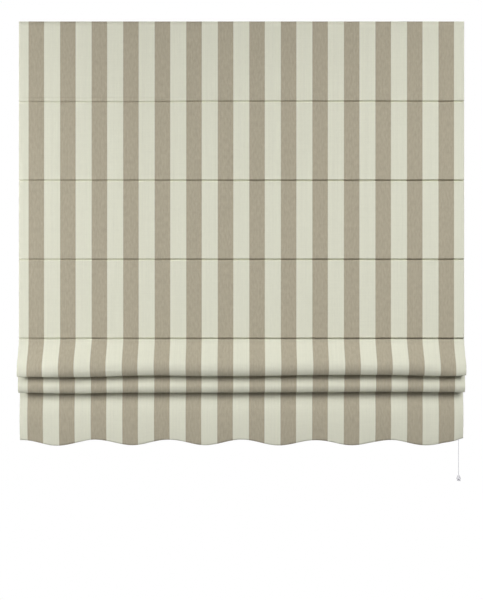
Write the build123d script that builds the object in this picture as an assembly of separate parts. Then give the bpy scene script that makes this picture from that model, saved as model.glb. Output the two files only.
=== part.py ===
from build123d import *
import math
import os

# Roman blind, half raised: a striped cloth hung from an aluminium headrail, drawn up by cords.
# X runs to the right, the cloth faces -Y, Z is up, and the wall is the plane Y = 0.
# The origin is the middle of the four screw holes of the wall brackets, on the wall.
# Forward distances are counted from the front of the flat panels, drops from the cloth's top edge.

# Cloth
blind_width = 1300.0
fabric_thickness = 1.2
first_drop = 231.8          # top edge to the first tuck
pocket_pitch = 230.9        # from one hanging tuck to the next
hung_tucks = 4              # tucks above the raised folds
tuck_depth = 4.4            # how far a tuck reaches back
tuck_mouth = 4.2            # height of a tuck at the cloth's middle line
seam_gap = 1.2              # between the two layers at a raised seam
panel_setback = 3.0         # bottom panel behind the flat panels, at its bar
panel_lean = 7.0            # how much further back it hangs below its bar
panel_lean_run = 36.0

# Raised folds, counted from the last hanging tuck
fold_1_hang = 112.0         # to the corner of the front fold's lower edge
fold_1_reach = 50.8         # forward reach of the front fold
fold_1_start = 14.0         # drop at which the front fold leaves the flat panel
fold_1_lean = 2.0           # its forward lean there
fold_1_round = 32.0         # bend of its front
fold_1_crease = 4.0         # bend of its lower edge
fold_1_depth = 34.0         # from its front to its back layer
fold_1_rise = 21.0          # height of its slanting underside
fold_2_hang = 162.4
fold_2_reach = 18.0
fold_2_round = 26.0
fold_2_crease = 2.2
fold_2_depth = 16.4
fold_2_rise = 10.4
fold_under = 45.0           # degrees by which a fold's front turns under
fold_corners = 3            # corners of the line round a fold's front
fold_sweep = 22.0           # easy bends of the hanging cloth
return_run = 7.0            # upright run of the cloth beside its seams and below its raised pockets
raised_rod_drop = 20.5
raised_bar_drop = 76.0
hem_hang = 296.5            # to the crests of the scalloped hem
wave_height = 16.6
wave_count = 6
seam_bend_share = 0.96
fold_bend_share = 0.97
crease_run_share = 1.4
easy_bend_share = 1.2

# Flat rods, bottom bar and the tape pockets that hold them
rod_height = 12.0
rod_thickness = 2.0
bar_height = 24.0
bar_thickness = 2.5
tape_thickness = 0.7
pocket_clearance = 0.3
pocket_inset = 8.0          # from the cloth's side edge
rod_inset = 12.0
sewing_gap = 0.4            # between a pocket and the bend of the cloth beside it

# Hook and loop fastening
hook_thickness = 1.0
loop_thickness = 1.2
fastener_height = 22.0
fastener_inset = 3.0

# Headrail, an extrusion with a bracket channel above and a pulley chamber below
rail_inset = 3.0
rail_depth = 22.0
rail_wall = 1.4
top_slot = 10.4
bottom_slot = 10.4
channel_height = 3.4
chamber_height = 21.4
wall_gap = 6.3
cap_thickness = 1.6
cap_plug = 6.0
plug_clearance = 0.25

# Wall brackets and their swivel clamps
bracket_count = 2
bracket_inset = 130.0       # from the rail's end to a bracket
bracket_width = 36.0
bracket_sheet = 2.0
bracket_bend = 1.6
bracket_corner = 5.0
arm_rise = 15.5             # underside of the arm above the middle of the screw holes
plate_drop = 14.0           # lower edge of the plate below it
arm_overhang = 8.0          # arm beyond the clamp's axis
screw_spacing = 16.0
screw_hole_radius = 2.4
stud_radius = 3.0
stud_head_radius = 4.6
stud_head_height = 1.2
lever_thickness = 1.8
lever_length = 11.5
lever_width = 14.0
lever_tip_width = 7.0
lever_back = 8.0
neck_radius = 4.6
neck_sides = 6
head_length = 17.0
head_width = 8.4
head_height = 2.0
head_clip = 1.6
swivel_gap = 0.2
cover_margin = 0.6          # cloth's top edge above the stud heads

# Cords and rings
cord_radius = 0.7
cord_columns = 3
column_inset = 115.0        # from the cloth's side edge to an outer cord
cord_pitch = 1.9            # between cords side by side in the headrail
ring_radius = 7.5
ring_hole_radius = 5.9
ring_sides = 12
cord_sides = 6
ring_height = 1.6
ring_seat = 0.2
anchor_width = 10.0
anchor_height = 8.0
anchor_wall = 3.0
knot_radius = 1.7
knot_height = 3.4
cord_hole_clearance = 0.15

# Pulleys
roller_radius = 5.6
roller_width = 8.4
roller_floor_gap = 0.8
roller_side_gap = 0.4
pin_radius = 1.5
fit_clearance = 0.05
cord_gap = 0.3              # between a cord and what it runs over
housing_length = 26.0
housing_clearance = 0.25
housing_roof_gap = 1.2
pin_end_gap = 0.6

# Cord lock
pull_inset = 14.0           # from the cloth's side edge to the pull cord
lock_length = 44.0
lock_end_wall = 2.4
lock_roof = 1.3
lock_anvil_length = 22.0
pawl_setback = 24.0         # from the roller's axis to the pawl's axis
pawl_pin_radius = 1.25
pawl_hub_radius = 2.2
pawl_length = 11.4
pawl_tip_height = 1.7
pawl_gap = 0.2
tooth_count = 4
tooth_depth = 0.7
tooth_pitch = 1.5

# Pull cord
connector_drop = 118.0      # from the headrail to the connector
connector_length = 24.0
connector_top_radius = 5.0
connector_tip_radius = 2.4
connector_sides = 12
bell_drop = 1324.3          # from the cloth's top edge to the bell
bell_height = 18.4
bell_neck_radius = 2.6
bell_shoulder_radius = 5.0
bell_waist_radius = 6.0
bell_radius = 7.0
bell_shares = (0, 0.16, 0.3, 0.62, 0.76, 1)
bell_radii = (
    bell_neck_radius, bell_neck_radius, bell_shoulder_radius, bell_waist_radius, bell_radius, bell_radius
)
bell_sides = 24

cut_overrun = 2.0

# Heights and depths that follow from the sizes above
rail_length = blind_width - 2 * rail_inset
rail_height = 3 * rail_wall + channel_height + chamber_height
clamp_y = -wall_gap - rail_depth / 2
rail_front_y = -wall_gap - rail_depth
face_y = rail_front_y - hook_thickness - loop_thickness - fabric_thickness
arm_top = arm_rise + bracket_sheet
rail_top = arm_rise - 2 * swivel_gap - lever_thickness
channel_floor = rail_top - rail_wall - channel_height
chamber_top = channel_floor - rail_wall
chamber_floor = chamber_top - chamber_height
rail_bottom = chamber_floor - rail_wall
chamber_depth = rail_depth - 2 * rail_wall
top_z = arm_top + swivel_gap + stud_head_height + cover_margin

last_tuck = first_drop + (hung_tucks - 1) * pocket_pitch
half_cloth = fabric_thickness / 2
pocket_wall = pocket_clearance + tape_thickness
pocket_height = rod_height + 2 * pocket_wall
pocket_depth = rod_thickness + 2 * pocket_wall
pocket_back = fabric_thickness + pocket_depth
bar_pocket_height = bar_height + 2 * pocket_wall
bar_pocket_depth = bar_thickness + 2 * pocket_wall
bar_pocket_back = fabric_thickness + panel_setback + bar_pocket_depth
seam_half = half_cloth + seam_gap / 2
rod_seam = last_tuck + raised_rod_drop
bar_seam = last_tuck + raised_bar_drop
tuck_seat = tuck_mouth / 2 + half_cloth + sewing_gap
seam_seat = seam_half + half_cloth + sewing_gap

roller_z = chamber_floor + roller_floor_gap + roller_radius
cord_turn = roller_radius + cord_gap + cord_radius
run_z = roller_z + cord_turn
cavity_width = roller_width + 2 * roller_side_gap
housing_depth = chamber_depth - 2 * housing_clearance
housing_height = chamber_height - housing_clearance
pull_x = blind_width / 2 - pull_inset
lock_roller_x = pull_x - cord_turn
lock_right = pull_x + cord_radius + cord_gap + lock_end_wall
pawl_x = lock_roller_x - pawl_setback
lock_ceiling = chamber_floor + housing_height - lock_roof
pawl_z = lock_ceiling - cord_gap - pawl_hub_radius
connector_top = rail_bottom - connector_drop
connector_bottom = connector_top - connector_length
bell_top = top_z - bell_drop


def hung(forward, drop):
    return (face_y - forward, top_z - drop)


def spread(count, half_span):
    return [half_span * (2 * i / (count - 1) - 1) for i in range(count)]


column_x = spread(cord_columns, blind_width / 2 - column_inset)
column_y = [clamp_y + s for s in spread(cord_columns, cord_pitch * (cord_columns - 1) / 2)]
bracket_x = spread(bracket_count, rail_length / 2 - bracket_inset)
side_names = ["left", "right"]


def along_x(section, length):
    return extrude(Plane.YZ * section, amount=length / 2, both=True)


def along_y(section, y, depth):
    return extrude(Plane.XZ.offset(-y) * section, amount=depth / 2, both=True)


def upright(section, low, high):
    return extrude(Plane.XY.offset(low) * section, amount=high - low)


def block(x_low, x_high, y_middle, depth, low, high):
    section = Pos((x_low + x_high) / 2, (low + high) / 2) * Rectangle(x_high - x_low, high - low)
    return along_y(section, y_middle, depth)


def shaft_y(x, y, z, radius, depth):
    return along_y(Pos(x, z) * Circle(radius), y, depth)


# Folded cloth: its middle line, bent to the radii given, thickened to both sides
def cloth_side(points, radii, shift):
    line = [Vector(*p) for p in points]
    ways = [(b - a).normalized() for a, b in zip(line, line[1:])]
    normals = [Vector(-w.Y, w.X) for w in ways]
    corners = [line[0] + normals[0] * shift]
    bends = []
    for i, radius in enumerate(radii):
        before, after = normals[i], normals[i + 1]
        corners.append(line[i + 1] + (before + after) * (shift / (1 + before.dot(after))))
        turn = 1 if ways[i].cross(ways[i + 1]).Z > 0 else -1
        bends.append(radius - turn * shift if radius else 0)
    corners.append(line[-1] + normals[-1] * shift)
    return FilletPolyline(*corners, radius=bends)


def cloth_section(points, radii):
    front = cloth_side(points, radii, half_cloth)
    back = cloth_side(points, radii, -half_cloth)
    ends = [Line(front @ 0, back @ 0), Line(front @ 1, back @ 1)]
    return make_face([*front.edges(), *back.edges(), *ends])


# Corners round the front of a fold, from the cloth that leans out to it down to its lower edge
def fold_front(leave, front, edge, bend, crease):
    under = math.radians(fold_under)
    run = crease * crease_run_share
    forward = front - bend
    drop = edge - bend * math.sin(under) - run * math.cos(under)
    away = (forward - leave[0], drop - leave[1])
    lean = math.atan2(*away) + math.asin(bend / math.hypot(*away))
    step = (lean + under) / fold_corners
    reach = bend / math.cos(step / 2)
    corners = [hung(*leave)]
    for i in range(fold_corners):
        facing = lean - step * (2 * i + 1) / 2
        corners.append(hung(forward + reach * math.cos(facing), drop - reach * math.sin(facing)))
    corners.append(hung(forward + bend * math.cos(under) - run * math.sin(under), edge))
    return corners


def cloth_route():
    flat = -half_cloth
    panel = flat - panel_setback
    points = [hung(flat, 0)]
    radii = []
    for i in range(hung_tucks):
        drop = first_drop + i * pocket_pitch
        points += [hung(flat, drop - tuck_mouth / 2), hung(flat - tuck_depth, drop)]
        points.append(hung(flat, drop + tuck_mouth / 2))
        radii += [0, 0, 0]
    front_1 = fold_1_reach - half_cloth
    front_2 = fold_2_reach - half_cloth
    edge_1 = last_tuck + fold_1_hang - half_cloth
    edge_2 = last_tuck + fold_2_hang - half_cloth
    seam_1 = rod_seam + half_cloth
    seam_2 = bar_seam + half_cloth
    leave_1 = (fold_1_lean, last_tuck + fold_1_start)
    leave_2 = (flat, rod_seam + seam_seat + pocket_height + return_run)
    lean_start = bar_seam + seam_seat + bar_pocket_height + return_run
    points += fold_front(leave_1, front_1, edge_1, fold_1_round, fold_1_crease)
    points += [
        hung(front_1 - fold_1_depth, edge_1 - fold_1_rise),
        hung(flat + 2 * seam_half, seam_1 + return_run),
        hung(flat + 2 * seam_half, seam_1),
        hung(flat, seam_1),
    ]
    points += fold_front(leave_2, front_2, edge_2, fold_2_round, fold_2_crease)
    points += [
        hung(front_2 - fold_2_depth, edge_2 - fold_2_rise),
        hung(panel + 2 * seam_half, seam_2 + return_run),
        hung(panel + 2 * seam_half, seam_2),
        hung(panel, seam_2),
        hung(panel, lean_start),
        hung(panel - panel_lean, lean_start + panel_lean_run),
        hung(panel - panel_lean, last_tuck + hem_hang + wave_height),
    ]
    seam_bend = seam_half * seam_bend_share
    easy_bend = return_run * easy_bend_share
    for bend, crease in ((fold_1_round, fold_1_crease), (fold_2_round, fold_2_crease)):
        radii += [fold_sweep] + [fold_bend_share * bend] * fold_corners + [crease]
        radii += [easy_bend, easy_bend, seam_bend, seam_bend]
    radii += [fold_sweep, fold_sweep]
    return points, radii


def hem_cut():
    wave = blind_width / wave_count
    middle = top_z - last_tuck - hem_hang - wave_height / 2
    start = -blind_width / 2 - wave / 4
    edges = []
    for i in range(2 * wave_count + 1):
        rise = wave_height / 2 if i % 2 == 0 else -wave_height / 2
        left = start + i * wave / 2
        ends = [(left, middle), (left + wave / 2, middle)]
        edges.append(ThreePointArc(ends[0], (left + wave / 4, middle + rise), ends[1]))
    right = start + (2 * wave_count + 1) * wave / 2
    floor = middle - wave_height - cut_overrun
    edges.append(Polyline((right, middle), (right, floor), (start, floor), (start, middle)))
    section = make_face([e for part in edges for e in part.edges()])
    return along_y(section, face_y, 2 * (bar_pocket_back + panel_lean))


def fabric_panel():
    points, radii = cloth_route()
    return along_x(cloth_section(points, radii), blind_width) - hem_cut()


# Tape pockets, sewn flat to the cloth's back, with the flat rods and the bottom bar inside
def pocket(middle, depth, height):
    outer = Rectangle(depth, height)
    inner = Rectangle(depth - 2 * tape_thickness, height - 2 * tape_thickness)
    return along_x(Pos(*middle) * (outer - inner), blind_width - 2 * pocket_inset)


def stiffener(middle, thickness, height):
    return along_x(Pos(*middle) * Rectangle(thickness, height), blind_width - 2 * rod_inset)


bar_middle = hung(-bar_pocket_back + bar_pocket_depth / 2, bar_seam + seam_seat + bar_pocket_height / 2)


# Hook and loop tapes between the cloth and the headrail
fastener_z = rail_top - fastener_height / 2 - fastener_inset


def hook_tape():
    section = Pos(rail_front_y - hook_thickness / 2, fastener_z) * Rectangle(hook_thickness, fastener_height)
    return along_x(section, rail_length)


def loop_tape():
    middle = rail_front_y - hook_thickness - loop_thickness / 2
    section = Pos(middle, fastener_z) * Rectangle(loop_thickness, fastener_height)
    return along_x(section, rail_length)


# Headrail
def rail_outline():
    return Pos(clamp_y, (rail_top + rail_bottom) / 2) * Rectangle(rail_depth, rail_height)


def headrail():
    channel = Pos(clamp_y, channel_floor + channel_height / 2) * Rectangle(chamber_depth, channel_height)
    chamber = Pos(clamp_y, chamber_floor + chamber_height / 2) * Rectangle(chamber_depth, chamber_height)
    slot_height = rail_wall + cut_overrun
    upper = Pos(clamp_y, rail_top - rail_wall + slot_height / 2) * Rectangle(top_slot, slot_height)
    lower = Pos(clamp_y, rail_bottom + rail_wall - slot_height / 2) * Rectangle(bottom_slot, slot_height)
    return along_x(rail_outline() - channel - chamber - upper - lower, rail_length)


def end_cap(way):
    end = way * rail_length / 2
    plate = extrude(Plane.YZ.offset(end) * rail_outline(), amount=way * cap_thickness)
    plug_depth = chamber_depth - 2 * plug_clearance
    plug_height = chamber_height - 2 * plug_clearance
    plug = Pos(clamp_y, chamber_floor + chamber_height / 2) * Rectangle(plug_depth, plug_height)
    hollow = Pos(clamp_y, chamber_floor + chamber_height / 2) * Rectangle(
        plug_depth - 2 * cap_thickness, plug_height - 2 * cap_thickness
    )
    return plate + extrude(Plane.YZ.offset(end) * (plug - hollow), amount=-way * cap_plug)


# Wall bracket: a bent steel strip, screwed to the wall behind the headrail
def wall_bracket(x):
    front = clamp_y - arm_overhang
    plate = Pos(-bracket_sheet / 2, (arm_top - plate_drop) / 2) * Rectangle(
        bracket_sheet, arm_top + plate_drop
    )
    arm = Pos(front / 2, arm_rise + bracket_sheet / 2) * Rectangle(-front, bracket_sheet)
    section = plate + arm
    bend = section.vertices().sort_by_distance((-bracket_sheet, arm_rise))[0]
    section = fillet(bend, bracket_bend)
    outer = section.vertices().sort_by_distance((0, arm_top))[0]
    section = fillet(outer, bracket_bend + bracket_sheet)
    strip = along_x(section, bracket_width)
    corners = strip.edges().filter_by(Axis.Y).group_by(Axis.Z)[0]
    corners += strip.edges().filter_by(Axis.Z).group_by(Axis.Y)[0]
    strip = chamfer(corners, bracket_corner)
    for side in (-1, 1):
        strip -= shaft_y(0, 0, side * screw_spacing / 2, screw_hole_radius, 2 * bracket_sheet + cut_overrun)
    hole = Pos(0, clamp_y) * Circle(stud_radius + fit_clearance)
    strip -= upright(hole, arm_rise - cut_overrun, arm_top + cut_overrun)
    return Pos(x, 0, 0) * strip


# Swivel clamp: a lever with an oblong head that locks under the lips of the headrail's channel
def swivel_clamp(x):
    place = Pos(x, clamp_y)
    lever_top = arm_rise - swivel_gap
    lever_bottom = lever_top - lever_thickness
    head_top = rail_top - rail_wall - swivel_gap
    head_bottom = head_top - head_height
    stud_top = arm_top + swivel_gap
    shoulder = lever_length - (lever_width - lever_tip_width) / 2
    half_width, half_tip = lever_width / 2, lever_tip_width / 2
    outline = Polyline(
        (-lever_back, -half_width), (shoulder, -half_width), (lever_length, -half_tip),
        (lever_length, half_tip), (shoulder, half_width), (-lever_back, half_width), close=True,
    )
    lever = upright(place * make_face(outline), lever_bottom, lever_top)
    head = upright(place * Rectangle(head_width, head_length), head_bottom, head_top)
    head = chamfer(head.edges().filter_by(Axis.Z), head_clip)
    neck = upright(place * RegularPolygon(neck_radius, neck_sides), head_top, lever_bottom)
    shank = upright(place * Circle(stud_radius), lever_top, stud_top)
    rivet_head = upright(place * Circle(stud_head_radius), stud_top, stud_top + stud_head_height)
    return lever + head + neck + shank + rivet_head


# Cord guides on the back of the cloth
def cord_rings(middle):
    z = middle[1]
    y = face_y + pocket_back + ring_seat + ring_radius
    section = RegularPolygon(ring_radius, ring_sides) - RegularPolygon(ring_hole_radius, ring_sides)
    ring = upright(section, z - ring_height / 2, z + ring_height / 2)
    return Compound([Pos(x, y, 0) * ring for x in column_x])


anchor_low = bar_middle[1] - anchor_height / 2
anchor_high = bar_middle[1] + anchor_height / 2


def cord_anchors():
    anchors = []
    back = face_y + bar_pocket_back
    hole_width = 2 * (cord_radius + cord_hole_clearance)
    for x, y in zip(column_x, column_y):
        depth = y - back + cord_radius + anchor_wall
        half = anchor_width / 2
        anchor = block(x - half, x + half, back + depth / 2, depth, anchor_low, anchor_high)
        hole = Pos(x, y) * Rectangle(hole_width, hole_width)
        anchors.append(anchor - upright(hole, anchor_low - cut_overrun, anchor_high + cut_overrun))
    return Compound(anchors)


# Lift cord: up from its knot, over a pulley, along the headrail, through the lock and down
def lift_cord(column):
    x, y = column_x[column], column_y[column]
    knot_top = anchor_low - cord_hole_clearance
    on_plane = Plane.XZ.offset(-y)
    path = FilletPolyline(
        (x, knot_top), (x, run_z), (pull_x, run_z), (pull_x, connector_top), radius=cord_turn
    )
    print(f"lift cord {column + 1}: arcs of {cord_turn:.2f} mm, length {path.length:.0f} mm")
    start = Plane(origin=(x, y, knot_top), z_dir=(0, 0, 1))
    cord = sweep(start * RegularPolygon(cord_radius, cord_sides), path=on_plane * path)
    knot = Pos(x, y) * RegularPolygon(knot_radius, cord_sides)
    return cord + upright(knot, knot_top - knot_height, knot_top)


# Pulleys in the headrail
def pulley_x(column):
    return column_x[column] + cord_turn


# A round pin is pressed into square holes in the two cheeks
def pin_seat(x, z, radius):
    side = 2 * (radius + fit_clearance)
    return along_y(Pos(x, z) * Rectangle(side, side), clamp_y, rail_depth)


def pulley_housing(column):
    x = pulley_x(column)
    half = housing_length / 2
    roof = run_z + cord_radius + housing_roof_gap
    body = block(x - half, x + half, clamp_y, housing_depth, chamber_floor, chamber_floor + housing_height)
    body -= block(
        x - half - cut_overrun, x + half + cut_overrun, clamp_y, cavity_width,
        chamber_floor - cut_overrun, roof,
    )
    return body - pin_seat(x, roller_z, pin_radius)


def roller(x):
    drum = shaft_y(x, clamp_y, roller_z, roller_radius, roller_width)
    return drum - shaft_y(x, clamp_y, roller_z, pin_radius + fit_clearance, rail_depth)


def roller_pin(x):
    return shaft_y(x, clamp_y, roller_z, pin_radius, housing_depth - 2 * pin_end_gap)


# Cord lock at the right end: the cords run between an anvil and a toothed pawl, then over a roller
def cord_lock_body():
    left = lock_right - lock_length
    anvil_right = left + lock_anvil_length
    anvil_top = run_z - cord_radius - pawl_gap
    top = chamber_floor + housing_height
    cavity_right = lock_right - lock_end_wall
    body = block(left, lock_right, clamp_y, housing_depth, chamber_floor, top)
    body -= block(left - cut_overrun, cavity_right, clamp_y, cavity_width, anvil_top, lock_ceiling)
    body -= block(
        anvil_right, cavity_right, clamp_y, cavity_width, chamber_floor - cut_overrun, lock_ceiling
    )
    body -= pin_seat(lock_roller_x, roller_z, pin_radius)
    return body - pin_seat(pawl_x, pawl_z, pawl_pin_radius)


def cord_lock_pawl():
    tooth_tip = run_z + cord_radius + pawl_gap
    tooth_root = tooth_tip + tooth_depth
    nose = pawl_x + pawl_length
    points = [(pawl_x, pawl_z + pawl_hub_radius), (nose, tooth_root + pawl_tip_height), (nose, tooth_root)]
    for i in range(tooth_count):
        right = nose - i * tooth_pitch
        points += [(right - tooth_pitch, tooth_tip), (right - tooth_pitch, tooth_root)]
    points.append((pawl_x, pawl_z - pawl_hub_radius))
    outline = make_face(Polyline(*points, close=True))
    hub = Pos(pawl_x, pawl_z) * Circle(pawl_hub_radius)
    hole = Pos(pawl_x, pawl_z) * Circle(pawl_pin_radius + fit_clearance)
    return along_y(outline + hub - hole, clamp_y, roller_width)


def cord_lock_pins():
    depth = housing_depth - 2 * pin_end_gap
    pawl_pin = shaft_y(pawl_x, clamp_y, pawl_z, pawl_pin_radius, depth)
    return Compound([roller_pin(lock_roller_x), pawl_pin])


# Pull cord with the connector that joins the lift cords, and its bell
def faceted(sides, levels):
    turns = [2 * math.pi * i / sides for i in range(sides)]
    rounds = []
    for z, radius in levels:
        rounds.append([(pull_x + radius * math.cos(a), clamp_y + radius * math.sin(a), z) for a in turns])
    outlines = [rounds[0], rounds[-1]]
    for upper, lower in zip(rounds, rounds[1:]):
        for i in range(sides):
            outlines.append([upper[i - 1], upper[i], lower[i], lower[i - 1]])
    return Solid(Shell([Face(Wire.make_polygon(outline)) for outline in outlines]))


def cord_connector():
    levels = [(connector_top, connector_top_radius), (connector_bottom, connector_tip_radius)]
    return faceted(connector_sides, levels)


def pull_cord():
    print(f"pull cord: straight, length {connector_bottom - bell_top:.0f} mm")
    return faceted(cord_sides, [(connector_bottom, cord_radius), (bell_top, cord_radius)])


def cord_bell():
    levels = [(bell_top - share * bell_height, radius) for share, radius in zip(bell_shares, bell_radii)]
    return faceted(bell_sides, levels)


# All pieces by name
pieces = {
    "fabric_panel": fabric_panel(),
    "headrail": headrail(),
    "headrail_end_cap_left": end_cap(-1),
    "headrail_end_cap_right": end_cap(1),
    "hook_tape": hook_tape(),
    "loop_tape": loop_tape(),
    "bottom_bar_pocket": pocket(bar_middle, bar_pocket_depth, bar_pocket_height),
    "bottom_bar": stiffener(bar_middle, bar_thickness, bar_height),
    "cord_anchors": cord_anchors(),
    "cord_lock_body": cord_lock_body(),
    "cord_lock_roller": roller(lock_roller_x),
    "cord_lock_pawl": cord_lock_pawl(),
    "cord_lock_pins": cord_lock_pins(),
    "cord_connector": cord_connector(),
    "pull_cord": pull_cord(),
    "cord_bell": cord_bell(),
}

# Hanging rods lie above their tucks, and the raised one below its seam
half_pocket = pocket_height / 2
rod_drops = [first_drop + i * pocket_pitch - tuck_seat - half_pocket for i in range(hung_tucks)]
rod_drops.append(rod_seam + seam_seat + half_pocket)
for i, drop in enumerate(rod_drops, 1):
    middle = hung(-fabric_thickness - pocket_depth / 2, drop)
    pieces[f"rod_pocket_{i}"] = pocket(middle, pocket_depth, pocket_height)
    pieces[f"stiffening_rod_{i}"] = stiffener(middle, rod_thickness, rod_height)
    pieces[f"cord_rings_{i}"] = cord_rings(middle)

for i in range(cord_columns):
    pieces[f"lift_cord_{i + 1}"] = lift_cord(i)
    pieces[f"pulley_housing_{i + 1}"] = pulley_housing(i)
    pieces[f"pulley_roller_{i + 1}"] = roller(pulley_x(i))
    pieces[f"pulley_pin_{i + 1}"] = roller_pin(pulley_x(i))

for name, x in zip(side_names, bracket_x):
    pieces[f"wall_bracket_{name}"] = wall_bracket(x)
    pieces[f"swivel_clamp_{name}"] = swivel_clamp(x)

os.makedirs("parts", exist_ok=True)
for node, shape in pieces.items():
    export_step(shape, f"parts/{node}.step")
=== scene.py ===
import math

import bmesh
import bpy
from mathutils import Matrix, Vector, noise


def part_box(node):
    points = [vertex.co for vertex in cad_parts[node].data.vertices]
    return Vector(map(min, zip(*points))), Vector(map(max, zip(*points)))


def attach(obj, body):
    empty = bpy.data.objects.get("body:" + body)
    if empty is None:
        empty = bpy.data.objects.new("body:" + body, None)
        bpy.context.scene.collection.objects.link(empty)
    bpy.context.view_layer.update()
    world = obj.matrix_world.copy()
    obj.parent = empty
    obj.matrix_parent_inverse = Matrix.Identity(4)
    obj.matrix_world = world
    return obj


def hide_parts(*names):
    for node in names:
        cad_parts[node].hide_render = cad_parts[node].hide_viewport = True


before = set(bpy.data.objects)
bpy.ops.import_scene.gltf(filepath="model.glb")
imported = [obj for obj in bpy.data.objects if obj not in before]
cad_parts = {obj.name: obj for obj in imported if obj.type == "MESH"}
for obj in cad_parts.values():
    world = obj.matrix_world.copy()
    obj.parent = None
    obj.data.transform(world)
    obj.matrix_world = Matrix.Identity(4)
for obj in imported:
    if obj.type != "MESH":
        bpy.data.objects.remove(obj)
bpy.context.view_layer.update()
mm = 0.001
blindBody = "blind"
scene = bpy.context.scene
print("frame loaded:", len(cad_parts), "nodes")

solidCloth = 1.2                         # thickness of the plain cloth solid, in millimetres
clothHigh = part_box("fabric_panel")[1]
halfWidth = clothHigh.x
topZ = clothHigh.z
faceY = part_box("loop_tape")[0].y - solidCloth * mm          # front of the flat panels


def hung(forward, drop, x=0.0):          # millimetres in front of the panels and below the top edge
    return Vector((x, faceY - forward * mm, topZ - drop * mm))


# camera: level, square to the cloth, at the height of the picture's middle
cameraPlace = {"distance": 4.0, "drop": 813.3, "lens": 82.2, "sensor": 36.0}


def addCamera():
    data = bpy.data.cameras.new("photoCamera")
    data.lens = cameraPlace["lens"]
    data.sensor_width = cameraPlace["sensor"]
    camera = bpy.data.objects.new("photoCamera", data)
    camera.location = hung(cameraPlace["distance"] / mm, cameraPlace["drop"])
    camera.rotation_euler = (math.pi / 2, 0, 0)
    scene.collection.objects.link(camera)
    scene.camera = camera


addCamera()
scene.view_settings.view_transform = "Standard"
print("camera set")


# small helpers for meshes
def newPiece(name, mesh):          # every new piece hangs with the blind itself
    piece = bpy.data.objects.new(name, mesh)
    scene.collection.objects.link(piece)
    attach(piece, blindBody)
    return piece


def meshFrom(bm, name, smooth=True):
    bmesh.ops.recalc_face_normals(bm, faces=bm.faces)
    mesh = bpy.data.meshes.new(name)
    bm.to_mesh(mesh)
    bm.free()
    for face in mesh.polygons:
        face.use_smooth = smooth
    return mesh


def smoothStep(value, low, high):
    t = min(1.0, max(0.0, (value - low) / (high - low)))
    return t * t * (3 - 2 * t)


def along(stations, u):                  # eased line through listed stations
    for (u0, v0), (u1, v1) in zip(stations, stations[1:]):
        if u <= u1:
            return v0 + (v1 - v0) * smoothStep(u, u0, u1)
    return stations[-1][1]


# helpers for shader nodes
def addNode(tree, kind, **settings):
    node = tree.nodes.new(kind)
    for key, value in settings.items():
        setattr(node, key, value)
    return node


def feed(tree, socket, value):
    if isinstance(value, bpy.types.NodeSocket):
        tree.links.new(value, socket)
    else:
        socket.default_value = value


def calc(tree, operation, first, second=0.0, third=0.0):
    node = addNode(tree, "ShaderNodeMath", operation=operation)
    for socket, value in zip(node.inputs, (first, second, third)):
        feed(tree, socket, value)
    return node.outputs[0]


def blendColour(tree, factor, first, second):
    node = addNode(tree, "ShaderNodeMix", data_type="RGBA")
    feed(tree, node.inputs[0], factor)
    feed(tree, node.inputs[6], first)
    feed(tree, node.inputs[7], second)
    return node.outputs[2]


def scaled(tree, vector, sizes):
    node = addNode(tree, "ShaderNodeVectorMath", operation="MULTIPLY")
    feed(tree, node.inputs[0], vector)
    feed(tree, node.inputs[1], sizes)
    return node.outputs[0]


def cloudy(tree, vector, scale, detail=2.0):
    node = addNode(tree, "ShaderNodeTexNoise")
    feed(tree, node.inputs["Vector"], vector)
    node.inputs["Scale"].default_value = scale
    node.inputs["Detail"].default_value = detail
    return node.outputs["Fac"]


def newGroup(name, inputs, outputs):
    group = bpy.data.node_groups.new(name, "ShaderNodeTree")
    for label, kind, default in inputs:
        socket = group.interface.new_socket(label, in_out="INPUT", socket_type=kind)
        if default is not None:
            socket.default_value = default
    for label, kind in outputs:
        group.interface.new_socket(label, in_out="OUTPUT", socket_type=kind)
    return group, addNode(group, "NodeGroupInput").outputs, addNode(group, "NodeGroupOutput").inputs


def useGroup(tree, group, **values):
    node = addNode(tree, "ShaderNodeGroup", node_tree=group)
    for label, value in values.items():
        feed(tree, node.inputs[label], value)
    return node.outputs


def newMaterial(name, roughness, metallic=0.0):
    material = bpy.data.materials.new(name)
    material.use_nodes = True
    tree = material.node_tree
    shader = next(n for n in tree.nodes if n.type == "BSDF_PRINCIPLED")
    shader.inputs["Roughness"].default_value = roughness
    shader.inputs["Metallic"].default_value = metallic
    return material, tree, shader


def addBump(tree, shader, height, distance, strength=1.0):
    bump = addNode(tree, "ShaderNodeBump")
    bump.inputs["Strength"].default_value = strength
    bump.inputs["Distance"].default_value = distance
    feed(tree, bump.inputs["Height"], height)
    tree.links.new(bump.outputs[0], shader.inputs["Normal"])


def srgb(red, green, blue):
    def linear(c):
        c /= 255
        return c / 12.92 if c <= 0.04045 else ((c + 0.055) / 1.055) ** 2.4
    return (linear(red), linear(green), linear(blue), 1.0)


# woven threads: warp along the second coordinate, weft along the first, both in metres
yarns = {
    "weft": {"stretch": (0.02, 1.0, 0.0), "scale": 480.0, "detail": 3.0, "share": 1.0},
    "warp": {"stretch": (1.0, 0.012, 0.0), "scale": 620.0, "detail": 3.0, "share": 1.5},
    "streaks": {"stretch": (1.0, 0.006, 0.0), "scale": 210.0, "detail": 2.0, "share": 1.1},
}
slubRelief = 0.4


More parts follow.
